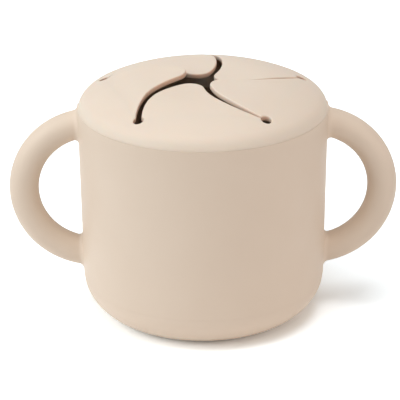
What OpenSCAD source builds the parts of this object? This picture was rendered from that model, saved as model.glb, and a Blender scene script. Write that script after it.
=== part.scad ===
// Lidded snack cup for toddlers: a rigid cup with two ring handles, and a
// soft domed lid cut into five curved flaps that a small hand pushes through.
// Origin: centre of the foot, on the table. +Z up, +X through the right handle.

/* [Cup] */
// Outside diameter of the cup and the lid at the seam between them
cup_d = 90; // [84:0.5:104]
// Height of the seam above the table
cup_h = 78; // [74:0.5:110]
// How much the radius shrinks from the seam down to the rounded base
wall_draft = 0.85; // [0:0.05:2]
// Height of the rounded base
base_h = 14; // [9:0.5:18]
// How far the rounded base runs in from the wall to the flat foot
base_reach = 18.2; // [12:0.2:26]
// Radius of the tight curve at the top of the rounded base
base_edge_r = 11; // [4:0.5:12]
// Step at the mould line, where the wall meets the rounded base
mould_step = 0.15; // [0.05:0.05:0.5]
// Thickness of the wall and the floor
wall = 2.6; // [1.8:0.1:3.4]
// Rounding of the cup's shoulder, just under the seam
rim_round = 0.3; // [0.2:0.1:1]

/* [Mouth] */
// Depth of the straight bore that the lid's plug enters
mouth_depth = 11; // [9:0.5:20]
// Height of the thin neck above the seam
neck_h = 2.2; // [1:0.1:3]
// Thickness of the neck
neck_t = 1.3; // [0.8:0.1:1.6]

/* [Handles] */
// Thickness of the round bar
handle_t = 10.7; // [7:0.1:14]
// Radius of the ring, to the middle of the bar
handle_r = 25.1; // [20:0.1:27]
// How deep the ring's centre lies behind the wall at the seam
handle_inset = 5; // [0:0.5:10]
// How far the ring's centre lies below the seam
handle_drop = 31.1; // [27:0.1:36]

/* [Lid] */
// Height of the domed lid above the seam
lid_h = 9.8; // [9:0.1:16]
// Radius of the level middle of the dome
dome_flat_r = 20; // [12:1:24]
// Radius of the curve at the lid's outer edge
lid_edge_r = 6.4; // [5.6:0.1:8]
// How far below the seam the centre of that curve lies
edge_drop = 1.1; // [0.5:0.1:2]
// How far the lid is turned on the cup
lid_turn = -1; // [-36:0.5:36]
// Thickness of the dome and the flaps
lid_t = 2; // [1.2:0.1:2.6]
// Shadow gap at the seam
seam_gap = 0.1; // [0.05:0.05:0.8]
// Depth of the lid's plug below the seam
plug_depth = 8; // [4:0.5:8.5]
// Thickness of the plug
plug_t = 1.8; // [1:0.1:3]
// Chamfer that leads the plug into the mouth
plug_lead = 0.6; // [0.2:0.1:0.8]
// Clearance at each side of the neck and the plug
lid_fit = 0.1; // [0.05:0.01:0.2]

/* [Flaps] */
// Diameter of the round relief hole at the outer end of each slit
hole_d = 3.6; // [2:0.2:5]
// Land between the relief holes and the plug
hole_land = 1.2; // [0.4:0.1:4]
// Width of the slits
slit_w = 2; // [1:0.1:2.6]
// Angle between a slit's outer leg and the line to the lid's centre
slit_angle = 36; // [24:0.5:40]
// How far a slit turns on its way in
slit_turn = 58; // [44:0.5:62]
// Share of the room between a slit's hole and the flap tip that its bend takes up
bend_share = 0.97; // [0.6:0.01:0.99]
// How far the inner legs pass from the lid's centre
slit_miss = 0.5; // [0.2:0.1:2]
// Rounding of the flap tips
tip_r = 5.2; // [3:0.1:7]
// Clearance round the root of a flap
root_gap = 0.2; // [0.1:0.05:0.3]
// How far the tip of the front flap stands proud of the dome
front_lift = 0.6; // [0:0.1:3]
// How far the tip of the right flap stands proud of the dome
right_lift = 0.8; // [0:0.1:3]
// How far the tip of the back left flap stands proud of the dome
back_left_lift = 0.5; // [0:0.1:3]
// How far the tip of the left flap stands proud of the dome
left_lift = 3.5; // [0:0.1:5]

/* [Hidden] */
$fn = 96;

CUP_COLOR = [0.87, 0.79, 0.71];
LID_COLOR = [0.89, 0.82, 0.74];
FLAPS = 5;
STEP = 360 / FLAPS;           // turn from one flap to the next
OVER = 1;                     // how far a cutter runs past what it cuts
LAP = 0.5;                    // degrees that one slice of a disc laps over the next
BEND_STEPS = 8;               // flats round the bend of a slit
TIP_STEPS = 9;                // flats round the tip of a flap
ROOT_MARGIN = 0.06;           // how far a root's round edge stands past the shell

// Cup
cup_r = cup_d / 2;
base_r = cup_r - wall_draft;
foot_r = base_r - base_reach;
bore_r = cup_r - wall;
neck_r = bore_r + neck_t;

// Handles
handle_x = cup_r - handle_inset;
handle_z = cup_h - handle_drop;

// Lid: radii of the groove over the neck and of the plug in the bore
groove_r = neck_r + lid_fit;
plug_r = bore_r - lid_fit;
plug_in_r = plug_r - plug_t;
edge_z = cup_h - edge_drop;
dome_rise = lid_h + edge_drop;
dome_reach = cup_r - dome_flat_r;
dome_r = big_r(dome_reach, dome_rise, lid_edge_r);
dome_z = cup_h + lid_h - dome_r;

// Slits: each is two straight legs joined by a bend, here with its hole on +X
hole_r = hole_d / 2;
hole_c = plug_in_r - hole_r - hole_land;
out_dir = 180 + slit_angle;            // heading of the outer leg
in_dir = out_dir - slit_turn;          // heading of the inner leg
in_normal = in_dir + 90;
leg = (slit_miss - hole_c * cos(in_normal)) / cos(in_normal - out_dir);
leg_end = [hole_c, 0] + leg * dir(out_dir);
slit_end = slit_miss * dir(in_normal) + slit_miss * tan(STEP / 2) * dir(in_dir);
tip_run = (slit_w / 2 + tip_r) / tan(STEP / 2) + 2 * slit_miss * tan(STEP / 2);
bend_run = bend_share * min(leg, norm(slit_end - leg_end) - tip_run);
bend_r = bend_run / tan(slit_turn / 2);
bend_c = leg_end - bend_run * dir(out_dir) + bend_r * dir(out_dir - 90);

// Flap roots: each flap turns about the straight line between two holes
root_y = hole_c * cos(STEP / 2);
root_half = hole_c * sin(STEP / 2);
root_top = dome_height(root_y, 0);     // highest and lowest points of the shell
root_low = dome_height(hole_c, lid_t); // along that line
root_z = (root_top + root_low) / 2;
root_r = (root_top - root_low) / 2 + ROOT_MARGIN;

// Flap tips, in the frame of a flap whose root faces -Y, with the slit that
// bounds it on the right starting at angle SIDE_R, and on the left at SIDE_L
SIDE_R = -90 + STEP / 2;
SIDE_L = -90 - STEP / 2;
tip_dir = SIDE_R + in_dir - 180 - STEP / 2; // from the corner into the flap
tip_corner = turn(slit_end, SIDE_R);
tip_c = tip_corner + (slit_w / 2 + tip_r) / sin(STEP / 2) * dir(tip_dir);
tip_reach = (tip_c - tip_r * dir(tip_dir)).y + root_y;

function dir(a) = [cos(a), sin(a)];
function turn(p, a) = [p.x * cos(a) - p.y * sin(a), p.x * sin(a) + p.y * cos(a)];
// Radius of the shallow arc between an edge arc and a level middle
function big_r(reach, rise, edge_r) =
    (reach * reach + rise * rise - 2 * reach * edge_r) / (2 * (rise - edge_r));
// Height of the dome, drawn in by inset, at a radius outside its level middle
function dome_height(r, inset) =
    dome_z + sqrt(pow(dome_r - inset, 2) - pow(r - dome_flat_r, 2));
// Points round an arc, from angle a to angle b
function arc(c, r, a, b, n) = [for (i = [0:n]) c + r * dir(a + (b - a) * i / n)];
function reverse(v) = [for (i = [len(v) - 1:-1:0]) v[i]];
// One side of the slit whose hole lies at angle a, from the hole inwards: its
// middle line moved by side to the left
function slit_side(a, side) = [for (p = concat(
    [[hole_c, 0] + side * dir(out_dir + 90)],
    arc(bend_c, bend_r + side, out_dir + 90, in_dir + 90, BEND_STEPS))) turn(p, a)];

// A slice of a disc, from angle a to angle b
module pie(c, r, a, b) {
    far = 2 * r;
    intersection() {
        translate(c) circle(r, $fn = 360);
        polygon([c, c + far * dir(a), c + far * dir((a + b) / 2), c + far * dir(b)]);
    }
}

// Half a section of a crown: a flat of radius flat_r, a shallow arc and a
// tighter edge arc that ends upright, with everything drawn in by inset
module crown(flat_r, reach, rise, edge_r, inset = 0) {
    shallow_r = big_r(reach, rise, edge_r);
    shallow_c = [flat_r, rise - shallow_r];
    edge_c = [flat_r + reach - edge_r, 0];
    split = atan2(edge_c.y - shallow_c.y, edge_c.x - shallow_c.x);
    intersection() {
        union() {
            if (flat_r > 0) square([flat_r, rise - inset]);
            pie(shallow_c, shallow_r - inset, split - LAP, 90);
            pie(edge_c, edge_r - inset, 0, split);
        }
        square([flat_r + reach, rise]);
    }
}

// Half a section of the cup's outside, drawn in by inset, up to height top
module cup_outline(inset, step) {
    low_r = base_r - inset;
    polygon([[0, base_h], [low_r, base_h], [cup_r - inset, cup_h], [0, cup_h]]);
    translate([0, base_h]) mirror([0, 1])
        crown(foot_r, base_reach - step, base_h,
              min(base_edge_r, 0.9 * base_h, 0.9 * base_reach), inset);
}

module cup() {
    color(CUP_COLOR) rotate_extrude() difference() {
        union() {
            difference() {
                cup_outline(0, mould_step);
                translate([cup_r - rim_round, cup_h - rim_round])
                    difference() {
                        square(rim_round + OVER);
                        circle(rim_round, $fn = 360);
                    }
            }
            translate([0, cup_h - OVER]) square([neck_r, neck_h + OVER]);
        }
        cup_outline(wall, 0);
        translate([0, cup_h - mouth_depth]) square([bore_r, mouth_depth + neck_h + OVER]);
    }
}

// One ring handle, on +X: a round bar bent into a ring that runs into the wall
module handle() {
    color(CUP_COLOR) difference() {
        translate([handle_x, 0, handle_z]) rotate([90, 0, 0])
            rotate_extrude() translate([handle_r, 0]) circle(handle_t / 2);
        rotate_extrude() cup_outline(0, 0);
        translate([-handle_r, -handle_t, handle_z - handle_r - handle_t])
            cube([handle_r + handle_x, 2 * handle_t, 2 * (handle_r + handle_t)]);
    }
}

module right_handle() { handle(); }
module left_handle() { mirror([1, 0, 0]) handle(); }

// Half a section of the dome, drawn in by inset
module dome(inset) {
    translate([0, edge_z]) crown(dome_flat_r, dome_reach, dome_rise, lid_edge_r, inset);
}

// Half a section of the lid: dome, lip, groove for the neck, and plug
module lid_section() {
    difference() {
        union() {
            intersection() {
                dome(0);
                translate([0, cup_h + seam_gap]) square([cup_r, lid_h]);
            }
            translate([0, cup_h])
                polygon([[plug_in_r, -plug_depth], [plug_r - plug_lead, -plug_depth],
                         [plug_r, plug_lead - plug_depth], [plug_r, neck_h], [plug_in_r, neck_h]]);
        }
        intersection() {
            dome(lid_t);
            translate([0, edge_z]) square([plug_in_r, dome_rise]);
        }
        translate([plug_r, cup_h - OVER]) square([groove_r - plug_r, neck_h + OVER]);
    }
}

// A rod along the line that the flap at -Y turns about
module root_rod(r, half) {
    translate([0, -root_y, root_z]) rotate([0, 90, 0]) cylinder(r = r, h = 2 * half, center = true);
}

module lid() {
    color(LID_COLOR) rotate(lid_turn) difference() {
        rotate_extrude() lid_section();
        translate([0, 0, cup_h]) rotate(SIDE_R) cylinder(r = hole_c, h = lid_h + OVER, $fn = FLAPS);
        for (i = [0:FLAPS - 1]) rotate(i * STEP) {
            root_rod(root_r + root_gap, root_half);
            rotate(SIDE_R) translate([hole_c, 0, cup_h]) cylinder(r = hole_r, h = lid_h);
        }
    }
}

// Plan of a flap between the slits at its right and its left, with a round tip
module flap_plan() {
    half = root_half - root_gap;
    root_end = -root_y - root_r - OVER;
    difference() {
        polygon(concat(
            [[-half, root_end], [half, root_end]],
            slit_side(SIDE_R, slit_w / 2),
            arc(tip_c, tip_r, tip_dir + 90 + STEP / 2, tip_dir + 270 - STEP / 2, TIP_STEPS),
            reverse(slit_side(SIDE_L, -slit_w / 2))));
        for (side = [-1, 1]) translate([side * root_half, -root_y]) circle(hole_r);
    }
}

// What lies outside a flap's round root edge
module outside_root() {
    difference() {
        translate([-root_half - OVER, -root_y - root_r - 2 * OVER, cup_h])
            cube([2 * (root_half + OVER), root_r + 2 * OVER, lid_h]);
        root_rod(root_r, root_half + 2 * OVER);
    }
}

// The flap i places round from the front, with its tip standing proud by lift
module flap(i, lift) {
    color(LID_COLOR) rotate(lid_turn + i * STEP)
        translate([0, -root_y, root_z]) rotate([asin(lift / tip_reach), 0, 0])
        translate([0, root_y, -root_z]) difference() {
            intersection() {
                rotate_extrude() difference() {
                    dome(0);
                    dome(lid_t);
                }
                translate([0, 0, cup_h]) linear_extrude(lid_h + OVER) flap_plan();
            }
            outside_root();
        }
}

module flap_front() { flap(0, front_lift); }
module flap_right() { flap(1, right_lift); }
module flap_back_right() { flap(2, 0); }
module flap_back_left() { flap(3, back_left_lift); }
module flap_left() { flap(4, left_lift); }

cup();
left_handle();
right_handle();
lid();
flap_front();
flap_right();
flap_back_right();
flap_back_left();
flap_left();
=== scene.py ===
# %% [markdown]
# # A toddler's snack cup with a push-through lid
# The cup is moulded in one shot of matt plastic with two ring handles. Its
# lid is soft rubber: a shallow dome cut by five curved slits into flaps that
# a small hand pushes through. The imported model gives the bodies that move.
# Everything below is modelled again with finer edges, in the same place, and
# each new piece takes over from the plain one that it stands for.

# %% The frame that everything is placed in
import math

import bmesh
import bpy
from mathutils import Matrix, Vector


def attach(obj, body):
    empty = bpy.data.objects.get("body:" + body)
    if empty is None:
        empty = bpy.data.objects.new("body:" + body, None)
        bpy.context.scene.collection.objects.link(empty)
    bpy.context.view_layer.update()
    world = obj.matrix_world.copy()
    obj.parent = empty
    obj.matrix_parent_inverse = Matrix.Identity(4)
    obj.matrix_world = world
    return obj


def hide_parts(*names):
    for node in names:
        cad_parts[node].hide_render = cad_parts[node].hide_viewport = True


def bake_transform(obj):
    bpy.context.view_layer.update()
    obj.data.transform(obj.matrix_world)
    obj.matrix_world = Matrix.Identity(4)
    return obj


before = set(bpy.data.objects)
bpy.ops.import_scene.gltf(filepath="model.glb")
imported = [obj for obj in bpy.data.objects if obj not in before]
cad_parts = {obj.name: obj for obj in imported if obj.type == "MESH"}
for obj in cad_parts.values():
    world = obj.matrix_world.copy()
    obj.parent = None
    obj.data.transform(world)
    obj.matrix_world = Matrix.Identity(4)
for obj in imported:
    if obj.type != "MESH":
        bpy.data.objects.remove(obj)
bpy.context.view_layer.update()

# %% [markdown]
# ## Sizes
# A moulder's drawing is in millimetres. Blender could be worked in metres
# from the start, but then every size would be full of noughts. So the shapes
# are drawn in millimetres, and each piece is scaled once, as it is finished.
# Only what several pieces share stands here. Every other size stands beside
# the piece that it belongs to.

# %% Sizes that several pieces share, in millimetres
MM = 0.001
CUP_R = 45.0            # outside radius at the seam
SEAM_Z = 78.0           # height of the seam between cup and lid
NECK_R, NECK_H = 43.7, 2.2          # the neck that the lid grips
FIT = 0.1               # clearance between lid and cup
BELOW_SEAM = 2.0        # cup and plug both have a ring of points this far down
MERGE = 1e-3            # points closer than this are one point
print(f"the cup is {2 * CUP_R:.0f} mm across and {SEAM_Z:.0f} mm high up to the seam")

# %% [markdown]
# ## Helpers
# Turned shapes start as a thin outline. It could be a long list of points,
# but then nobody sees which of them belong to one round. A pen draws it one
# stretch at a time instead: a straight stretch is an extruded vertex, and a
# round one is a vertex spun about the centre of its arc.

# %% A pen for outlines, in the plane y = 0 or z = 0
class Pen:
    """Draws a thin outline into a bmesh of its own."""

    def __init__(self, start, upright=True):
        self.bm = bmesh.new()
        self.upright = upright
        self.end = self.bm.verts.new(self.place(start))

    def place(self, point):
        return (point[0], 0, point[1]) if self.upright else (point[0], point[1], 0)

    def line(self, *points):
        for point in points:
            self.end = bmesh.ops.extrude_vert_indiv(self.bm, verts=[self.end])["verts"][0]
            self.end.co = self.place(point)

    def arc(self, centre, degrees, steps):
        """Positive degrees turn anticlockwise as the outline is read."""
        axis = (0, -1, 0) if self.upright else (0, 0, 1)
        spun = bmesh.ops.spin(self.bm, geom=[self.end], cent=self.place(centre), axis=axis,
                              angle=math.radians(degrees), steps=steps)
        self.end = [g for g in spun["geom_last"] if isinstance(g, bmesh.types.BMVert)][0]


# %% A lathe, and two arcs that meet smoothly
def lathe(bm, steps):
    """Spins an upright outline all the way round the cup's axis."""
    bmesh.ops.spin(bm, geom=bm.verts[:] + bm.edges[:], cent=(0, 0, 0), axis=(0, 0, 1),
                   angle=math.tau, steps=steps, use_merge=True)
    bmesh.ops.remove_doubles(bm, verts=bm.verts[:], dist=MERGE)
    bmesh.ops.recalc_face_normals(bm, faces=bm.faces[:])


def big_radius(reach, rise, edge_r):
    """Radius of the shallow arc that meets an edge arc smoothly."""
    return (reach ** 2 + rise ** 2 - 2 * reach * edge_r) / (2 * (rise - edge_r))


# %% The last step of every piece
SHARP = 35              # degrees past which an edge stays sharp


def finish_piece(name, bm, body, nodes):
    """Makes the object, smooth shaded, in metres, riding on its body if it has one."""
    bmesh.ops.scale(bm, vec=(MM, MM, MM), verts=bm.verts[:])
    mesh = bpy.data.meshes.new(name)
    bm.to_mesh(mesh)
    bm.free()
    mesh.shade_smooth()
    mesh.set_sharp_from_angle(angle=math.radians(SHARP))
    piece = bpy.data.objects.new(name, mesh)
    bpy.context.scene.collection.objects.link(piece)
    if body:
        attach(piece, body)
    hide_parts(*nodes)
    print(f"{name}: {len(mesh.polygons)} faces")
    return piece


# %% Directions and turns in plan
def heading(degrees):
    """The direction at that angle, one long."""
    return Vector((math.cos(math.radians(degrees)), math.sin(math.radians(degrees))))


def turned(point, degrees):
    """A point of the plan, turned about the cup's axis."""
    return Matrix.Rotation(math.radians(degrees), 2) @ Vector(point)


# %% [markdown]
# ## The cup
# One turned wall: a flat foot, a base that rounds up in two arcs, a faint
# step at the mould line, a wall with a little draft, a soft shoulder under
# the seam, a thin neck that the lid grips, and the same line again inside.
# It could be a cylinder with bevels and a second one cut out of it, but the
# base has two different arcs, and the neck is stepped. One outline that is
# spun holds all of that, and its wall is closed and even all the way round.

# %% Sizes of the cup
DRAFT = 0.85            # how much the wall leans in towards the base
BASE_H = 14.0           # height of the rounded base
BASE_REACH = 15.7       # how far the base runs in to the flat foot
BASE_EDGE_R = 11.0      # tight curve at the top of the base
MOULD_STEP = 0.15       # step at the mould line
STEP_SHARE, STEP_LOW, STEP_TOP = 0.3, 0.08, 0.3     # its corner, and the heights it takes
WALL = 2.6              # thickness of the wall and the floor
RIM_ROUND = 0.12        # soft shoulder under the seam
NECK_SOFT, BORE_SOFT = 0.2, 0.3     # the neck's outer and inner corners
MOUTH_DEPTH, MOUTH_LEDGE = 11.0, 0.1        # straight bore for the plug, and its ledge
FOOT_FLAT = 4.0         # width of the last flat ring under the cup
OUTER_RINGS = (20, 30, 40, 50, 60, 70, SEAM_Z - BELOW_SEAM)     # heights, on the way up
INNER_RINGS = (60, 45, 30, BASE_H)          # and on the way down
CUP_STEPS, BASE_STEPS, RIM_STEPS = 192, 14, 8       # round the cup, in a base arc, in the rim

foot_r = CUP_R - DRAFT - BASE_REACH
base_r = CUP_R - DRAFT
bore_r = CUP_R - WALL
print(f"foot {2 * foot_r:.1f} mm across, base {2 * base_r:.1f} mm, bore {2 * bore_r:.1f} mm")


# %% The wall's lean, and the rounded base
def wall_radius(z, inset=0.0):
    """The wall's radius at a height: outside, or that far in from it."""
    return CUP_R - DRAFT * (SEAM_Z - z) / (SEAM_Z - BASE_H) - inset


def base_arcs(pen, outside):
    """The two arcs between the flat foot and the wall: up outside, down inside."""
    reach = BASE_REACH - (MOULD_STEP if outside else 0)
    shallow_r = big_radius(reach, BASE_H, BASE_EDGE_R)
    shallow_c = (foot_r, shallow_r)
    edge_c = (foot_r + reach - BASE_EDGE_R, BASE_H)
    split = math.degrees(math.atan2(edge_c[1] - shallow_c[1], edge_c[0] - shallow_c[0]))
    arcs = [(shallow_c, split + 90), (edge_c, -split)]
    for centre, degrees in arcs if outside else reversed(arcs):
        pen.arc(centre, degrees if outside else -degrees, BASE_STEPS)


print(f"the wall leans {math.degrees(math.atan2(DRAFT, SEAM_Z - BASE_H)):.2f} degrees")

# %% Cup outline, up the outside
cup_pen = Pen((0, 0))
cup_pen.line((foot_r - FOOT_FLAT, 0), (foot_r, 0))
base_arcs(cup_pen, True)
cup_pen.line((base_r - MOULD_STEP * STEP_SHARE, BASE_H + STEP_LOW), (base_r, BASE_H + STEP_TOP))
cup_pen.line(*[(wall_radius(z), z) for z in OUTER_RINGS])
rim_r, rim_z = wall_radius(SEAM_Z - RIM_ROUND), SEAM_Z - RIM_ROUND
cup_pen.line((rim_r, rim_z))
cup_pen.arc((rim_r - RIM_ROUND, rim_z), 90, RIM_STEPS)
print("points up the outside:", len(cup_pen.bm.verts))

# %% Over the neck, down the inside, and round
neck_z, ledge_z = SEAM_Z + NECK_H, SEAM_Z - MOUTH_DEPTH
cup_pen.line((NECK_R, SEAM_Z), (NECK_R, neck_z - NECK_SOFT), (NECK_R - NECK_SOFT, neck_z),
             (bore_r + BORE_SOFT, neck_z), (bore_r, neck_z - BORE_SOFT), (bore_r, ledge_z),
             (wall_radius(ledge_z, WALL), ledge_z - MOUTH_LEDGE))
cup_pen.line(*[(wall_radius(z, WALL), z) for z in INNER_RINGS])
base_arcs(cup_pen, False)
cup_pen.line((0, WALL))
lathe(cup_pen.bm, CUP_STEPS)
cup = finish_piece("cup_shell", cup_pen.bm, "cup", ["cup"])

# %% [markdown]
# ## The handles
# A ring handle is a round bar swept in a circle. A torus that runs into the
# wall would do, but it leaves a hard line there, and a moulding has a soft
# corner. So a ring of edges is extruded station by station, and each vertex
# remembers where it sits round the bar. Next to the wall the stations open
# out in a quarter circle, and the bar grows out of the cup.

# %% Sizes of a handle
HANDLE_R, HANDLE_T = 25.1, 10.7     # radius of the ring, thickness of the bar
HANDLE_X, HANDLE_Z = 40.0, 46.9     # its centre
ROOT_FILLET = 1.8       # soft corner where a handle grows out of the wall
SKIRT = 0.35            # thin edge that lies on the wall round that corner
SUNK = 0.4              # how far the closed end sits inside the wall
FILLET_STEPS, BAR_STEPS, BAR_SIDES = 8, 72, 48      # in the corner, along and round the bar
HALVINGS = 40           # each one halves the stretch that holds the wall
print(f"handle {2 * HANDLE_R + HANDLE_T:.1f} mm high over the bar")


# %% Where the bar meets the wall
def bar_point(theta, phi):
    """A point of the bar's surface: theta along the ring, phi round the bar."""
    out = HANDLE_R + HANDLE_T / 2 * math.cos(phi)
    return Vector((HANDLE_X + out * math.cos(theta), HANDLE_T / 2 * math.sin(phi),
                   HANDLE_Z + out * math.sin(theta)))


def gap_to_wall(point):
    """How far outside the cup's wall a point is."""
    return math.hypot(point.x, point.y) - wall_radius(point.z)


def theta_at(phi, gap, sign):
    """Where along the ring the bar's surface is that far from the wall."""
    near, far = math.radians(135), math.radians(45)     # inside the wall, and well outside
    for _ in range(HALVINGS):
        middle = (near + far) / 2
        if gap_to_wall(bar_point(sign * middle, phi)) > gap:
            far = middle
        else:
            near = middle
    return sign * (near + far) / 2


leaves = math.degrees(theta_at(0, 0, 1))
print(f"the bar leaves the wall {leaves:.1f} degrees above and below its middle")


# %% The soft corner at the wall
def root_point(phi, gap, spread, sign):
    """A point of the soft corner, spread outwards along the wall."""
    theta = theta_at(phi, max(gap, 0), sign)
    point = bar_point(theta, phi)
    normal = Vector((math.cos(phi) * math.cos(theta), math.sin(phi),
                     math.cos(phi) * math.sin(theta)))
    radial = Vector((point.x, point.y, 0)).normalized()
    normal = (normal - normal.dot(radial) * radial).normalized()
    point = point + spread * normal
    scale = (wall_radius(point.z) + gap) / math.hypot(point.x, point.y)
    return Vector((point.x * scale, point.y * scale, point.z))


# %% The stations of the sweep
def stations():
    """(sign, gap, spread) near the wall, or a share of the way round."""
    rounding = [(ROOT_FILLET * (1 - math.sin(a)), ROOT_FILLET * (1 - math.cos(a)))
                for a in (math.radians(90 * k / FILLET_STEPS) for k in range(FILLET_STEPS + 1))]
    ends = [(-SUNK, ROOT_FILLET + SKIRT), (0.0, ROOT_FILLET + SKIRT)] + rounding[::-1]
    low = [(-1, gap, spread) for gap, spread in ends]
    high = [(1, gap, spread) for gap, spread in reversed(ends)]
    return low + [k / BAR_STEPS for k in range(1, BAR_STEPS)] + high


def station_point(station, phi):
    """Where a station puts the vertex that sits at phi round the bar."""
    if isinstance(station, tuple):
        sign, gap, spread = station
        return root_point(phi, gap, spread, sign)
    low, high = theta_at(phi, ROOT_FILLET, -1), theta_at(phi, ROOT_FILLET, 1)
    return bar_point(low + (high - low) * station, phi)


print("stations of the sweep:", len(stations()))


# %% Sweep one bar, and mirror it for the other side
def make_handle(name, node, side):
    """A bar from wall to wall: side is 1 for the right and -1 for the left."""
    bm = bmesh.new()
    around = bm.verts.layers.float.new("around")
    for vert in bmesh.ops.create_circle(bm, segments=BAR_SIDES, radius=1)["verts"]:
        vert[around] = math.atan2(vert.co.y, vert.co.x)
    loop = bm.edges[:]
    plan = stations()
    for vert in bm.verts:
        vert.co = station_point(plan[0], vert[around])
    first = loop
    for station in plan[1:]:
        made = bmesh.ops.extrude_edge_only(bm, edges=loop)["geom"]
        loop = [g for g in made if isinstance(g, bmesh.types.BMEdge) and g.is_boundary]
        for vert in {v for edge in loop for v in edge.verts}:
            vert.co = station_point(station, vert[around])
    bmesh.ops.contextual_create(bm, geom=loop)
    bmesh.ops.contextual_create(bm, geom=first)
    bmesh.ops.scale(bm, vec=(side, 1, 1), verts=bm.verts[:])
    bmesh.ops.recalc_face_normals(bm, faces=bm.faces[:])
    return finish_piece(name, bm, "cup", [node])


right_handle = make_handle("right_ring_handle", "right_handle", 1)
left_handle = make_handle("left_ring_handle", "left_handle", -1)

# %% [markdown]
# ## The slits
# Each slit runs in from a round relief hole in a long bend, and ends in a
# straight leg beside the centre. Two neighbouring slits bound one flap, whose
# tip is rounded. Some slits are narrower towards their hole, as soft rubber
# doesn't stay quite in place. They could be cut out of a dome with thin
# cutters, but that leaves ragged faces along a narrow cut, and the flaps
# have to be pieces of their own. So each flap is drawn in plan, for the one
# whose root faces the front, and turned to its place later. The sizes of the
# dome come first, because plan and dome have to agree.

# %% Sizes of the lid
LID_H = 9.8             # dome above the seam
DOME_FLAT_R = 20.0      # level middle of the dome
LID_EDGE_R = 6.4        # curve at the outer edge
EDGE_DROP = 1.1         # how far below the seam that curve is centred
LID_TURN = -1.0         # how far the lid is turned on the cup
LID_T = 2.0             # thickness of the dome

EDGE_Z = SEAM_Z - EDGE_DROP
DOME_R = big_radius(CUP_R - DOME_FLAT_R, LID_H + EDGE_DROP, LID_EDGE_R)
DOME_Z = SEAM_Z + LID_H - DOME_R
print(f"dome radius {DOME_R:.1f} mm")

# %% Sizes of the slits
FLAP_TURN = 72.0        # five flaps make a full turn
HOLE_R, HOLE_C = 1.8, 37.5          # a hole's radius, and its place from the centre
SLIT_W = 2.0            # width at the inner end
SLIT_ANGLE, SLIT_TURN = 36.0, 58.0  # how far a slit leans at its hole, and bends
SLIT_MISS = 0.5         # how far its line passes beside the centre
BEND_SHARE = 0.97       # how much of the room from hole to tip a slit's bend takes up
TIP_R = 5.2             # round tip of a flap
# width at each hole, anticlockwise from the one at the front flap's right
SLIT_AT_HOLE = {"front_right": 0.4, "right": 0.4, "back": 2.0,
                "left": 1.2, "front_left": 2.0}
HOLE_STEPS, BEND_STEPS, TIP_STEPS = 14, 24, 22
print("slits are", sorted(set(SLIT_AT_HOLE.values())), "mm wide at their holes")

# %% The plan of a slit
OUT_DIR = 180 + SLIT_ANGLE          # from a hole at the right, the way the slit sets off
IN_DIR = OUT_DIR - SLIT_TURN        # and the way that it passes the centre
IN_NORMAL = IN_DIR + 90
# from the hole to where those two straight lines cross
LEG = ((SLIT_MISS - HOLE_C * math.cos(math.radians(IN_NORMAL)))
       / math.cos(math.radians(IN_NORMAL - OUT_DIR)))
TAN_HALF = math.tan(math.radians(FLAP_TURN / 2))
LEG_END = Vector((HOLE_C, 0)) + LEG * heading(OUT_DIR)
# where two neighbouring slits cross, and how much of a side the tip's round takes
SLIT_END = SLIT_MISS * heading(IN_NORMAL) + SLIT_MISS * TAN_HALF * heading(IN_DIR)
TIP_RUN = (SLIT_W / 2 + TIP_R) / TAN_HALF + 2 * SLIT_MISS * TAN_HALF
# the bend touches both lines, that far from where they cross
BEND_RUN = BEND_SHARE * min(LEG, (SLIT_END - LEG_END).length - TIP_RUN)
BEND_R = BEND_RUN / math.tan(math.radians(SLIT_TURN / 2))
BEND_C = LEG_END - BEND_RUN * heading(OUT_DIR) + BEND_R * heading(OUT_DIR - 90)
print(f"a slit bends with a radius of {BEND_R:.1f} mm")

# %% The root and the tip of a flap
SIDE_R = -90 + FLAP_TURN / 2        # directions of the front flap's two holes
SIDE_L = -90 - FLAP_TURN / 2
ROOT_Y = HOLE_C * math.cos(math.radians(FLAP_TURN / 2))
ROOT_HALF = HOLE_C * math.sin(math.radians(FLAP_TURN / 2))
SEAM_OUT = 1.2          # how far outside the holes' line a flap is joined on
SEAM_Y = -ROOT_Y - SEAM_OUT
SEAM_HALF = ROOT_HALF - math.sqrt(HOLE_R ** 2 - SEAM_OUT ** 2)
TIP_DIR = SIDE_R + IN_DIR - 180 - FLAP_TURN / 2
TIP_C = (turned(SLIT_END, SIDE_R)
         + (SLIT_W / 2 + TIP_R) / math.sin(math.radians(FLAP_TURN / 2)) * heading(TIP_DIR))
TIP_REACH = (TIP_C - TIP_R * heading(TIP_DIR)).y + ROOT_Y
print(f"a flap is {2 * ROOT_HALF:.1f} mm wide at its root and {TIP_REACH:.1f} mm long")


# %% Where the sides of a slit start and end
def angle_from(centre, point):
    """The direction in which a point is seen from a centre, in degrees."""
    return math.degrees(math.atan2(point[1] - centre[1], point[0] - centre[0]))


def swing(start, end, clockwise):
    """Degrees from one direction to another, the given way round."""
    return -((start - end) % 360) if clockwise else (end - start) % 360


def bend_on_hole(side_angle, side):
    """Where one side of a slit's bend leaves the rim of its hole."""
    hole, bend_r = Vector((HOLE_C, 0)), BEND_R + side
    apart = (BEND_C - hole).length
    towards = (BEND_C - hole) / apart
    along = (HOLE_R ** 2 - bend_r ** 2 + apart ** 2) / (2 * apart)
    across = math.sqrt(HOLE_R ** 2 - along ** 2)
    return turned(hole + along * towards + across * Vector((-towards.y, towards.x)), side_angle)


def slit_side(side_angle, side, at_hole):
    """Where a side of a slit leaves its hole, its bend's centre, and its inner end."""
    joint = bend_on_hole(side_angle, at_hole)
    away = heading(IN_DIR + 90 + side_angle)
    end = turned(BEND_C, side_angle) + (BEND_R + side) * away
    across = joint - end
    return joint, end + across.length_squared / (2 * across.dot(away)) * away, end


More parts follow.
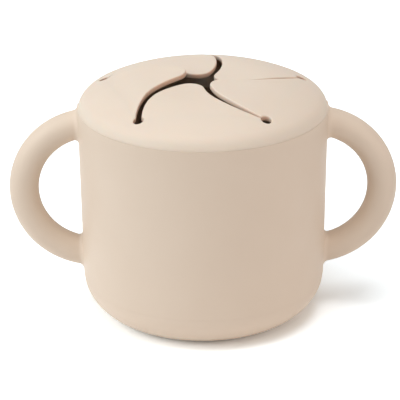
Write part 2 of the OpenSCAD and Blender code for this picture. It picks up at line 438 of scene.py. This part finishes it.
# %% The outline of one flap
def flap_outline(half_right, half_left):
    """The front flap, drawn anticlockwise from the left end of its root."""
    half = SLIT_W / 2
    pen = Pen((-SEAM_HALF, SEAM_Y), upright=False)
    pen.line((SEAM_HALF, SEAM_Y))
    hole = Vector((ROOT_HALF, -ROOT_Y))
    start = angle_from(hole, (SEAM_HALF, SEAM_Y))
    joint, bend, _ = slit_side(SIDE_R, half, half_right)
    pen.arc(hole, swing(start, angle_from(hole, joint), True), HOLE_STEPS)
    pen.arc(bend, swing(angle_from(bend, joint), IN_DIR + 90 + SIDE_R, True), BEND_STEPS)
    tip_from = TIP_DIR + 90 + FLAP_TURN / 2
    pen.line(TIP_C + TIP_R * heading(tip_from))
    pen.arc(TIP_C, 180 - FLAP_TURN, TIP_STEPS)
    joint, bend, inner_end = slit_side(SIDE_L, -half, -half_left)
    pen.line(inner_end)
    hole = Vector((-ROOT_HALF, -ROOT_Y))
    pen.arc(bend, swing(IN_DIR + 90 + SIDE_L, angle_from(bend, joint), False), BEND_STEPS)
    end = angle_from(hole, (-SEAM_HALF, SEAM_Y))
    pen.arc(hole, swing(angle_from(hole, joint), end, True), HOLE_STEPS)
    bmesh.ops.remove_doubles(pen.bm, verts=pen.bm.verts[:], dist=MERGE)
    return pen.bm


# %% [markdown]
# ## From a flat plan to the dome
# The flaps and the ring of the lid go through the same steps: thickness, a
# small bevel along the cut rims, slices that let the sheet bend, and a move
# onto the dome. They could be modelled on the dome from the start, but a cut
# keeps its even width and its clean bevel when it is made flat.

# %% Thickness and soft rims
EDGE_SOFT, SOFT_STEPS = 0.5, 4      # rounding along the slits
LEVEL = 1e-6            # an edge that climbs less than this is level


def dome_height(r, inset):
    """Height of the dome at a radius: on top, or that far under its skin."""
    return DOME_Z + math.sqrt((DOME_R - inset) ** 2 - max(0.0, r - DOME_FLAT_R) ** 2)


def thicken_and_soften(bm, is_soft):
    """Gives a flat outline its thickness and rounds the rims it picks."""
    sheet = bm.faces[:]
    made = bmesh.ops.extrude_face_region(bm, geom=sheet)["geom"]
    bmesh.ops.translate(bm, vec=(0, 0, -LID_T),
                        verts=[g for g in made if isinstance(g, bmesh.types.BMVert)])
    bmesh.ops.recalc_face_normals(bm, faces=bm.faces[:])
    rims = [e for e in bm.edges
            if abs(e.verts[0].co.z - e.verts[1].co.z) < LEVEL and is_soft(e)]
    bmesh.ops.bevel(bm, geom=rims, offset=EDGE_SOFT, offset_type="OFFSET",
                    segments=SOFT_STEPS, profile=0.5, affect="EDGES",
                    clamp_overlap=False, material=-1)


print(f"the middle of the dome is {dome_height(0, 0):.1f} mm up")


# %% Painted shade on the cut walls
LIT_FROM, LIT_FULLY = 0.2, 0.7      # how far left a slit's wall faces, to look lit
LIT_KEEPS_SHADE = 0.2           # how much of the painted shade a wall facing the key light keeps


def smooth(t):
    """0 up to 0, 1 from 1 on, and an easy slope between."""
    t = min(1.0, max(0.0, t))
    return t * t * (3 - 2 * t)


def paint_slit_shade(bm, turn=Matrix.Identity(3)):
    """Remembers how much painted shade each vertex gets: most of all deep in a slit or a hole.

    The shade is painted: it stands in for the darker, redder light that comes out of soft
    rubber in shade. A wall that faces the key light at the left, once the piece has its turn,
    gets less of it.
    """
    bmesh.ops.recalc_face_normals(bm, faces=bm.faces[:])
    bm.normal_update()
    cut = bm.verts.layers.float.new("painted_slit_shade")
    for vert in bm.verts:
        deep = -vert.co.z
        inside = smooth(deep / EDGE_SOFT) * (1 - smooth((deep - LID_T + EDGE_SOFT) / EDGE_SOFT))
        lit = smooth((-(turn @ vert.normal).x - LIT_FROM) / (LIT_FULLY - LIT_FROM))
        vert[cut] = inside * (1 - (1 - LIT_KEEPS_SHADE) * lit)


# %% Slices, and the move onto the dome
SNAP = 0.05             # a slice that passes this close to a point goes through it


def slice_up(bm, direction, places):
    """Cuts across a mesh at each place along a direction."""
    for place in places:
        bmesh.ops.bisect_plane(bm, geom=bm.verts[:] + bm.edges[:] + bm.faces[:], dist=SNAP,
                               plane_co=Vector(direction) * place, plane_no=direction)


def lay_on_dome(bm):
    """Moves the flat sheet onto the dome, where it keeps its thickness."""
    for vert in bm.verts:
        r = math.hypot(vert.co.x, vert.co.y)
        top, low = dome_height(r, 0), dome_height(r, LID_T)
        vert.co.z = top + vert.co.z / LID_T * (top - low)


# %% [markdown]
# ## The flaps
# Rubber flaps don't lie quite flat: the raised ones curl up from the root.
# Each flap is joined to the ring just outside the line through its two holes.
# It could turn there like a door, but rubber has no pin. So each flap is sliced closely near
# its root, and a raised flap curls up over those close slices.

# %% How a flap curls and bends
FLAPS = {"flap_front": 0.6, "flap_right": 1.4, "flap_back_right": 0.0,
         "flap_back_left": 0.5, "flap_left": 3.5}   # how far each tip stands up
ROOT_Z = (dome_height(ROOT_Y, 0) + dome_height(HOLE_C, LID_T)) / 2
CURL_END = 8.0          # how far in from the root a raised flap still curls
CLOSE, WIDE, SIDEWAYS = 0.5, 1.5, 2.0       # between slices: at the root, past it, and across
BEND_SLICES = 12
ROOT_SLICES = [SEAM_Y + CLOSE * k for k in range(1, BEND_SLICES)]
LONG_SLICES = [SEAM_Y + CLOSE * BEND_SLICES + WIDE * k for k in range(20)]
SIDE_SLICES = [SIDEWAYS * k for k in range(-11, 12)]
print(f"a flap bends about {ROOT_Z:.1f} mm up")


def curl_up(bm, lift):
    """Turns a flap up about its root, little by little over the curl."""
    full = math.asin(lift / TIP_REACH)
    pivot = Vector((0, -ROOT_Y, ROOT_Z))
    for vert in bm.verts:
        share = smooth((vert.co.y - SEAM_Y) / (CURL_END + SEAM_OUT))
        vert.co = pivot + Matrix.Rotation(full * share, 3, "X") @ (vert.co - pivot)


# %% Five flaps
def beyond_seam(edge):
    """True for every rim of a flap, apart from the one that the ring holds."""
    return max(v.co.y for v in edge.verts) > SEAM_Y + MERGE


def make_flap(name, place, lift):
    """One flap: its place, anticlockwise from the front, and its tip's lift."""
    at_hole = list(SLIT_AT_HOLE.values())
    bm = flap_outline(at_hole[place] / 2, at_hole[place - 1] / 2)
    bmesh.ops.contextual_create(bm, geom=bm.edges[:])
    thicken_and_soften(bm, beyond_seam)
    slice_up(bm, (0, 1, 0), ROOT_SLICES)
    slice_up(bm, (0, 1, 0), LONG_SLICES)
    slice_up(bm, (1, 0, 0), SIDE_SLICES)
    turn = Matrix.Rotation(math.radians(FLAP_TURN * place + LID_TURN), 3, "Z")
    # paints shade on the flap's cut walls
    paint_slit_shade(bm, turn)
    lay_on_dome(bm)
    curl_up(bm, lift)
    bmesh.ops.rotate(bm, cent=(0, 0, 0), matrix=turn, verts=bm.verts[:])
    bmesh.ops.recalc_face_normals(bm, faces=bm.faces[:])
    piece = finish_piece(name + "_skin", bm, None, [name])
    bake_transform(piece)
    return piece


flaps = [make_flap(name, place, lift) for place, (name, lift) in enumerate(FLAPS.items())]

# %% [markdown]
# ## The ring of the lid
# What is left of the dome is a ring with five straight sides and the outer
# halves of the holes. A spun ring with holes cut into it would meet the flaps
# in a ragged line, so it is drawn from the same plan as they are: one fifth,
# copied round and thickened. Then its outer edge is extruded down over the
# lip, into the groove that grips the neck, and round the plug.

# %% One fifth of the ring
JOIN_R = 40.4           # where the flat plan ends and the turned edge begins
JOIN_STEPS = 48
RING_CELL = 2.5         # the ring is sliced into squares of this size
SHIFT_X, SHIFT_Y = 0.7, 0.4         # so that no slice runs along a side


def fifth_outline():
    """A side, the outer halves of its two holes, and the arc outside."""
    pen = Pen((SEAM_HALF, SEAM_Y), upright=False)
    pen.line((-SEAM_HALF, SEAM_Y))
    hole = Vector((-ROOT_HALF, -ROOT_Y))
    pen.arc(hole, swing(angle_from(hole, (-SEAM_HALF, SEAM_Y)), SIDE_L, True), HOLE_STEPS)
    pen.line(JOIN_R * heading(SIDE_L))
    pen.arc((0, 0), FLAP_TURN, JOIN_STEPS)
    pen.line((HOLE_C + HOLE_R) * heading(SIDE_R))
    hole = Vector((ROOT_HALF, -ROOT_Y))
    pen.arc(hole, swing(SIDE_R, angle_from(hole, (SEAM_HALF, SEAM_Y)), True), HOLE_STEPS)
    bmesh.ops.remove_doubles(pen.bm, verts=pen.bm.verts[:], dist=MERGE)
    return pen.bm


def near_hole(point):
    """True for a point on the rim of one of the five holes."""
    r = math.hypot(point.x, point.y)
    turn = (math.degrees(math.atan2(point.y, point.x)) - SIDE_R) % FLAP_TURN
    turn = math.radians(min(turn, FLAP_TURN - turn))
    return math.hypot(r * math.cos(turn) - HOLE_C, r * math.sin(turn)) < HOLE_R + MERGE


def on_hole(edge):
    """True for an edge of a hole's rim, but not for a side from hole to hole."""
    short = (edge.verts[0].co - edge.verts[1].co).length < HOLE_R / 2
    return short and all(near_hole(v.co) for v in edge.verts)


# %% The whole ring, thickened and sliced
lid_bm = fifth_outline()
bmesh.ops.contextual_create(lid_bm, geom=lid_bm.edges[:])
fifth = lid_bm.verts[:] + lid_bm.edges[:] + lid_bm.faces[:]
bmesh.ops.spin(lid_bm, geom=fifth, cent=(0, 0, 0), axis=(0, 0, 1), steps=4,
               angle=math.radians(4 * FLAP_TURN), use_duplicate=True)
bmesh.ops.remove_doubles(lid_bm, verts=lid_bm.verts[:], dist=MERGE)
thicken_and_soften(lid_bm, on_hole)
slice_up(lid_bm, (1, 0, 0), [RING_CELL * k + SHIFT_X for k in range(-17, 17)])
slice_up(lid_bm, (0, 1, 0), [RING_CELL * k + SHIFT_Y for k in range(-17, 17)])
print("the sliced ring:", len(lid_bm.faces), "faces")

# %% The outer wall of the sheet makes way for the lip
IN_FROM_EDGE = 0.1      # how far inside the outer edge a point of that wall may be
UPRIGHT = 0.5           # the normal of an upright face points up less than this
outer_wall = [f for f in lid_bm.faces
              if all(math.hypot(v.co.x, v.co.y) > JOIN_R - IN_FROM_EDGE for v in f.verts)
              and abs(f.normal.z) < UPRIGHT]
bmesh.ops.delete(lid_bm, geom=outer_wall, context="FACES")
outer = [e for e in lid_bm.edges if e.is_boundary]
top_loop = [e for e in outer if e.verts[0].co.z > -LID_T / 2]
low_loop = [e for e in outer if e.verts[0].co.z < -LID_T / 2]
# paints shade on the walls of the ring's holes
paint_slit_shade(lid_bm)
lay_on_dome(lid_bm)
print("the ring's rims:", len(top_loop), len(low_loop), "edges")

# %% The lid's edge and lip, in section
SEAM_GAP = 0.03         # between the lip and the cup's shoulder
LIP_ROUND = 0.1         # soft corner of the lip
EDGE_STEPS, LIP_STEPS = 18, 6


def arc_points(centre, radius, start, end, steps):
    """Points along an arc, with both of its ends."""
    turns = [math.radians(start + (end - start) * k / steps) for k in range(steps + 1)]
    return [(centre[0] + radius * math.cos(a), centre[1] + radius * math.sin(a)) for a in turns]


edge_c = (CUP_R - LID_EDGE_R, EDGE_Z)
edge_from = math.degrees(math.atan2(EDGE_Z - DOME_Z, edge_c[0] - DOME_FLAT_R))
lip_z = SEAM_Z + SEAM_GAP
lip_rise = lip_z + LIP_ROUND - EDGE_Z
edge_to = math.degrees(math.asin(lip_rise / (LID_EDGE_R - LIP_ROUND)))
lip_r = edge_c[0] + math.sqrt((LID_EDGE_R - LIP_ROUND) ** 2 - lip_rise ** 2)
lip_c = (lip_r, lip_z + LIP_ROUND)
section = (arc_points(edge_c, LID_EDGE_R, edge_from, edge_to, EDGE_STEPS)
           + arc_points(lip_c, LIP_ROUND, edge_to, -90, LIP_STEPS)[1:])
print("points over the edge and the lip:", len(section))

# %% The groove and the plug, in section
GROOVE_R, PLUG_R = NECK_R + FIT, bore_r - FIT       # round the neck, and inside the bore
GROOVE_SOFT = 0.2       # corner where the lip meets the groove
PLUG_IN_R = 40.5        # the plug's inside
PLUG_DEPTH, PLUG_LEAD, PLUG_SOFT = 8.0, 0.6, 0.3    # its depth, lead-in and inner corner
UNDER_DOME = 0.3        # the plug's inside ends this far below the dome's

groove_top = SEAM_Z + NECK_H
plug_z = SEAM_Z - PLUG_DEPTH
section += [(GROOVE_R + GROOVE_SOFT, lip_z), (GROOVE_R, lip_z + GROOVE_SOFT),
            (GROOVE_R, groove_top), (PLUG_R, groove_top), (PLUG_R, plug_z + PLUG_LEAD),
            (PLUG_R - PLUG_LEAD, plug_z), (PLUG_IN_R + PLUG_SOFT, plug_z),
            (PLUG_IN_R, plug_z + PLUG_SOFT), (PLUG_IN_R, SEAM_Z - BELOW_SEAM),
            (PLUG_IN_R, dome_height(JOIN_R, LID_T) - UNDER_DOME)]
print("points of the whole section:", len(section))

# %% Extrude the ring's edge along the section
loop = top_loop
for r, z in section:
    made = bmesh.ops.extrude_edge_only(lid_bm, edges=loop)["geom"]
    loop = [g for g in made if isinstance(g, bmesh.types.BMEdge) and g.is_boundary]
    for vert in {v for edge in loop for v in edge.verts}:
        direction = Vector((vert.co.x, vert.co.y)).normalized()
        vert.co = (direction.x * r, direction.y * r, z)
bmesh.ops.bridge_loops(lid_bm, edges=loop + low_loop)
bmesh.ops.recalc_face_normals(lid_bm, faces=lid_bm.faces[:])
bmesh.ops.rotate(lid_bm, cent=(0, 0, 0), verts=lid_bm.verts[:],
                 matrix=Matrix.Rotation(math.radians(LID_TURN), 3, "Z"))
open_edges = sum(1 for e in lid_bm.edges if not e.is_manifold)
print("edges of the ring that are left open:", open_edges)
lid = finish_piece("lid_ring", lid_bm, "lid", ["lid"])

# %% [markdown]
# ## Finishes
# The cup is matt moulded plastic and the lid is soft rubber in nearly the
# same warm sand colour. A flat colour with one roughness would do from afar,
# but it looks like a drawing up close. Both finishes share three faint
# effects, so these are node groups: a slow drift in the colour, as pigment
# has, a fine grain from the mould's blasted surface, and broad patches that
# hands have left smoother. They read the place on the piece, so the pattern
# goes along with the lid when it is lifted.

# %% Colours
def from_screen(r, g, b):
    """A colour as it looks on screen, 0 to 255, in linear light."""
    return tuple((c / 255 / 12.92) if c < 10.3 else ((c / 255 + 0.055) / 1.055) ** 2.4
                 for c in (r, g, b)) + (1.0,)


SAND_PLASTIC, DEEP_PLASTIC = from_screen(226, 208, 189), from_screen(220, 201, 181)
SAND_RUBBER, DEEP_RUBBER = from_screen(230, 214, 197), from_screen(225, 208, 190)
# colour of the painted shade in the slits and holes, which the cut walls lean towards
SLIT_SHADE_COLOUR = from_screen(221, 186, 162)
print("sand rubber in linear light:", [round(c, 3) for c in SAND_RUBBER[:3]])


# %% An empty node group
def new_group(name, inputs, outputs):
    """An empty group with its sockets, and the nodes at its two ends."""
    group = bpy.data.node_groups.new(name, "ShaderNodeTree")
    for label, kind, value in inputs:
        socket = group.interface.new_socket(label, in_out="INPUT", socket_type=kind)
        socket.default_value = value
    for label, kind in outputs:
        group.interface.new_socket(label, in_out="OUTPUT", socket_type=kind)
    return group, group.nodes.new("NodeGroupInput"), group.nodes.new("NodeGroupOutput")


# %% Effect: pigment that drifts
def pigment_drift():
    """A colour that leans slowly towards a deeper one."""
    group, given, result = new_group(
        "pigment_drift",
        [("Colour", "NodeSocketColor", (0.8, 0.8, 0.8, 1)),
         ("Deep colour", "NodeSocketColor", (0.7, 0.7, 0.7, 1)),
         ("Scale", "NodeSocketFloat", 30.0), ("Amount", "NodeSocketFloat", 0.3)],
        [("Colour", "NodeSocketColor")])
    nodes, links = group.nodes, group.links
    where = nodes.new("ShaderNodeTexCoord")
    noise = nodes.new("ShaderNodeTexNoise")
    noise.inputs["Detail"].default_value = 3
    spread = nodes.new("ShaderNodeMapRange")
    spread.inputs["From Min"].default_value = 0.3
    spread.inputs["From Max"].default_value = 0.7
    amount = nodes.new("ShaderNodeMath")
    amount.operation = "MULTIPLY"
    mix = nodes.new("ShaderNodeMix")
    mix.data_type = "RGBA"
    links.new(where.outputs["Object"], noise.inputs["Vector"])
    links.new(given.outputs["Scale"], noise.inputs["Scale"])
    links.new(noise.outputs["Fac"], spread.inputs["Value"])
    links.new(spread.outputs["Result"], amount.inputs[0])
    links.new(given.outputs["Amount"], amount.inputs[1])
    links.new(amount.outputs["Value"], mix.inputs["Factor"])
    links.new(given.outputs["Colour"], mix.inputs["A"])
    links.new(given.outputs["Deep colour"], mix.inputs["B"])
    links.new(mix.outputs["Result"], result.inputs["Colour"])
    return group


# %% Effect: grain from the mould
def blasted_grain():
    """Fine pits, deep or shallow and dull or smooth together."""
    group, given, result = new_group(
        "blasted_grain",
        [("Scale", "NodeSocketFloat", 2500.0), ("Smooth", "NodeSocketFloat", 0.5),
         ("Rough", "NodeSocketFloat", 0.6)],
        [("Height", "NodeSocketFloat"), ("Roughness", "NodeSocketFloat")])
    nodes, links = group.nodes, group.links
    where = nodes.new("ShaderNodeTexCoord")
    noise = nodes.new("ShaderNodeTexNoise")
    noise.inputs["Detail"].default_value = 2
    shine = nodes.new("ShaderNodeMapRange")
    links.new(where.outputs["Object"], noise.inputs["Vector"])
    links.new(given.outputs["Scale"], noise.inputs["Scale"])
    links.new(noise.outputs["Fac"], shine.inputs["Value"])
    links.new(given.outputs["Smooth"], shine.inputs["To Min"])
    links.new(given.outputs["Rough"], shine.inputs["To Max"])
    links.new(noise.outputs["Fac"], result.inputs["Height"])
    links.new(shine.outputs["Result"], result.inputs["Roughness"])
    return group


# %% Effect: patches worn by hands
def handled():
    """Broad patches where hands have left the surface a little smoother."""
    group, given, result = new_group(
        "handled", [("Roughness", "NodeSocketFloat", 0.6), ("Scale", "NodeSocketFloat", 60.0),
                    ("Amount", "NodeSocketFloat", 0.06)],
        [("Roughness", "NodeSocketFloat")])
    nodes, links = group.nodes, group.links
    where = nodes.new("ShaderNodeTexCoord")
    noise = nodes.new("ShaderNodeTexNoise")
    noise.inputs["Detail"].default_value = 4
    noise.inputs["Distortion"].default_value = 0.6
    patches = nodes.new("ShaderNodeMapRange")
    patches.inputs["From Min"].default_value = 0.45
    patches.inputs["From Max"].default_value = 0.65
    amount = nodes.new("ShaderNodeMath")
    amount.operation = "MULTIPLY"
    less = nodes.new("ShaderNodeMath")
    less.operation = "SUBTRACT"
    links.new(where.outputs["Object"], noise.inputs["Vector"])
    links.new(given.outputs["Scale"], noise.inputs["Scale"])
    links.new(noise.outputs["Fac"], patches.inputs["Value"])
    links.new(patches.outputs["Result"], amount.inputs[0])
    links.new(given.outputs["Amount"], amount.inputs[1])
    links.new(given.outputs["Roughness"], less.inputs[0])
    links.new(amount.outputs["Value"], less.inputs[1])
    links.new(less.outputs["Value"], result.inputs["Roughness"])
    return group


DRIFT, GRAIN, HANDLED = pigment_drift(), blasted_grain(), handled()
print("effects:", DRIFT.name, GRAIN.name, HANDLED.name)


# %% The two finishes
def moulded(name, colour, deep, grain, rough):
    """A matt moulded finish: colour drift, fine grain, smoother patches."""
    material = bpy.data.materials.new(name)
    material.use_nodes = True
    nodes, links = material.node_tree.nodes, material.node_tree.links
    shader = nodes["Principled BSDF"]
    tone = nodes.new("ShaderNodeGroup")
    tone.node_tree = DRIFT
    tone.inputs["Colour"].default_value = colour
    tone.inputs["Deep colour"].default_value = deep
    tone.inputs["Scale"].default_value = 25
    tone.inputs["Amount"].default_value = 0.5
    surface = nodes.new("ShaderNodeGroup")
    surface.node_tree = GRAIN
    surface.inputs["Scale"].default_value = grain
    surface.inputs["Smooth"].default_value, surface.inputs["Rough"].default_value = rough
    hands = nodes.new("ShaderNodeGroup")
    hands.node_tree = HANDLED
    relief = nodes.new("ShaderNodeBump")
    relief.inputs["Strength"].default_value = 0.5
    relief.inputs["Distance"].default_value = 0.00003
    links.new(tone.outputs["Colour"], shader.inputs["Base Color"])
    links.new(surface.outputs["Roughness"], hands.inputs["Roughness"])
    links.new(hands.outputs["Roughness"], shader.inputs["Roughness"])
    links.new(surface.outputs["Height"], relief.inputs["Height"])
    links.new(relief.outputs["Normal"], shader.inputs["Normal"])
    return material


cup_finish = moulded("matt_sand_plastic", SAND_PLASTIC, DEEP_PLASTIC, 2500, (0.48, 0.6))
lid_finish = moulded("soft_sand_rubber", SAND_RUBBER, DEEP_RUBBER, 2000, (0.58, 0.7))
print("finishes:", cup_finish.name, lid_finish.name)

# %% Rubber lets a little light in, and painted shade darkens its cut walls
nodes, links = lid_finish.node_tree.nodes, lid_finish.node_tree.links
shader = nodes["Principled BSDF"]
shader.inputs["Subsurface Weight"].default_value = 0.2
shader.inputs["Subsurface Radius"].default_value = (1.0, 0.5, 0.3)
shader.inputs["Subsurface Scale"].default_value = 0.0015
# the painted shade weight, read from the pieces' vertices, mixes in the shade colour
shade_mark = nodes.new("ShaderNodeAttribute")
shade_mark.attribute_name = "painted_slit_shade"
deeper = nodes.new("ShaderNodeMix")
deeper.data_type = "RGBA"
deeper.inputs["B"].default_value = SLIT_SHADE_COLOUR
links.new(shade_mark.outputs["Fac"], deeper.inputs["Factor"])
links.new(shader.inputs["Base Color"].links[0].from_socket, deeper.inputs["A"])
links.new(deeper.outputs["Result"], shader.inputs["Base Color"])
# names the finish whose cut walls get the painted shade
print("red reaches the cut walls of", lid_finish.name)

# %% Finishes onto the pieces
of_plastic, of_rubber = (cup, right_handle, left_handle), (lid, *flaps)
for piece in of_plastic:
    piece.data.materials.append(cup_finish)
for piece in of_rubber:
    piece.data.materials.append(lid_finish)
print(f"{len(of_plastic)} pieces of plastic, {len(of_rubber)} of rubber")

# %% [markdown]
# ## Floor and light
# The cup stands on a white table in a white room. One soft light hangs
# overhead, a large one stands at the left, and a weaker, warmer one low at
# the right. More light on everything would also turn the background white,
# but it would wash out the cup. So the table and the room look pure white
# only where they are seen, directly or in a reflection, and give the cup no
# more light than a real table and room would.

# %% What is seen directly, in a mirror or through glass
def seen_rays(nodes, links):
    """Gives 1 where a ray comes from the eye, a mirror or glass, else 0."""
    path = nodes.new("ShaderNodeLightPath")
    result = path.outputs["Is Camera Ray"]
    for name in ("Is Glossy Ray", "Is Transmission Ray"):
        either = nodes.new("ShaderNodeMath")
        either.operation = "MAXIMUM"
        links.new(result, either.inputs[0])
        links.new(path.outputs[name], either.inputs[1])
        result = either.outputs["Value"]
    return result


# %% Floor
FLOOR_HALF = 0.62       # metres: past this the white room takes over
floor_bm = bmesh.new()
bmesh.ops.create_grid(floor_bm, x_segments=1, y_segments=1, size=FLOOR_HALF)
floor_mesh = bpy.data.meshes.new("floor")
floor_bm.to_mesh(floor_mesh)
floor_bm.free()
floor = bpy.data.objects.new("floor", floor_mesh)
bpy.context.scene.collection.objects.link(floor)
print(f"floor {2 * FLOOR_HALF:.2f} m wide")

# %% The table's white
TRUE_WHITE = (0.92, 0.9, 0.89, 1)           # what the cup gets back from it
SEEN_WHITE = (1.6, 1.71, 1.78, 1)           # pure white, outside the cup's shadow
paper = bpy.data.materials.new("white_table")
paper.use_nodes = True
nodes, links = paper.node_tree.nodes, paper.node_tree.links
shader = nodes["Principled BSDF"]
shader.inputs["Roughness"].default_value = 0.9
shader.inputs["Specular IOR Level"].default_value = 0.1
tone = nodes.new("ShaderNodeMix")
tone.data_type = "RGBA"
tone.inputs["A"].default_value = TRUE_WHITE
tone.inputs["B"].default_value = SEEN_WHITE
links.new(seen_rays(nodes, links), tone.inputs["Factor"])
links.new(tone.outputs["Result"], shader.inputs["Base Color"])
floor_mesh.materials.append(paper)
print("table finish:", paper.name)


# %% Lamps
AIM_OF_LAMPS = Vector((0, 0, 0.045))        # half-way up the cup


def soft_light(name, place, size, watts, colour=(1, 1, 1)):
    """A round lamp that faces the cup; place and size in metres."""
    lamp = bpy.data.lights.new(name, "AREA")
    lamp.shape = "DISK"
    lamp.size = size
    lamp.energy = watts
    lamp.color = colour
    lamp_object = bpy.data.objects.new(name, lamp)
    lamp_object.location = place
    direction = AIM_OF_LAMPS - Vector(place)
    lamp_object.rotation_euler = direction.to_track_quat("-Z", "Y").to_euler()
    bpy.context.scene.collection.objects.link(lamp_object)


soft_light("key", (-1.08, -0.31, 0.7), 1.1, 9.0, (0.96, 0.99, 1.0))
soft_light("top", (0.0, -0.2, 1.35), 0.9, 8.6)
soft_light("fill", (1.1, -0.65, 0.35), 1.0, 3.9, (1.0, 0.84, 0.74))

# %% The room's own light
ROOM_LIGHT, ROOM_SEEN = 0.24, 1.0   # what it gives, and how bright it looks
world = bpy.data.worlds.new("white_room")
bpy.context.scene.world = world
world.use_nodes = True
nodes, links = world.node_tree.nodes, world.node_tree.links
strength = nodes.new("ShaderNodeMapRange")
strength.inputs["To Min"].default_value = ROOM_LIGHT
strength.inputs["To Max"].default_value = ROOM_SEEN
links.new(seen_rays(nodes, links), strength.inputs["Value"])
links.new(strength.outputs["Result"], nodes["Background"].inputs["Strength"])
nodes["Background"].inputs["Color"].default_value = (1.0, 1.0, 1.0, 1)
bpy.context.scene.view_settings.view_transform = "Standard"
print("room light set")

# %% [markdown]
# ## Camera
# A cup can be shown through a short lens from close by, but then its rim
# looks much wider than its foot. A long lens from the front and a little
# above keeps the two ellipses close to each other, as they look from across
# a room.

# %% Camera
DISTANCE = 0.8          # metres
ELEVATION, AZIMUTH, ROLL = 23.1, -90.67, -0.38      # degrees
AIM = Vector((-0.00119, 0, 0.04133))
FILM, LENS = 36, 197.1  # millimetres
camera_data = bpy.data.cameras.new("camera")
camera_data.sensor_width = FILM
camera_data.lens = LENS
camera = bpy.data.objects.new("camera", camera_data)
bpy.context.scene.collection.objects.link(camera)
el, az = math.radians(ELEVATION), math.radians(AZIMUTH)
camera.location = AIM + DISTANCE * Vector((math.cos(el) * math.cos(az),
                                           math.cos(el) * math.sin(az), math.sin(el)))
look = (AIM - camera.location).to_track_quat("-Z", "Y")
camera.rotation_mode = "QUATERNION"
camera.rotation_quaternion = look @ Matrix.Rotation(math.radians(ROLL), 3, "Z").to_quaternion()
camera_data.clip_end = 20
bpy.context.scene.camera = camera
print("camera at", [round(c, 3) for c in camera.location])
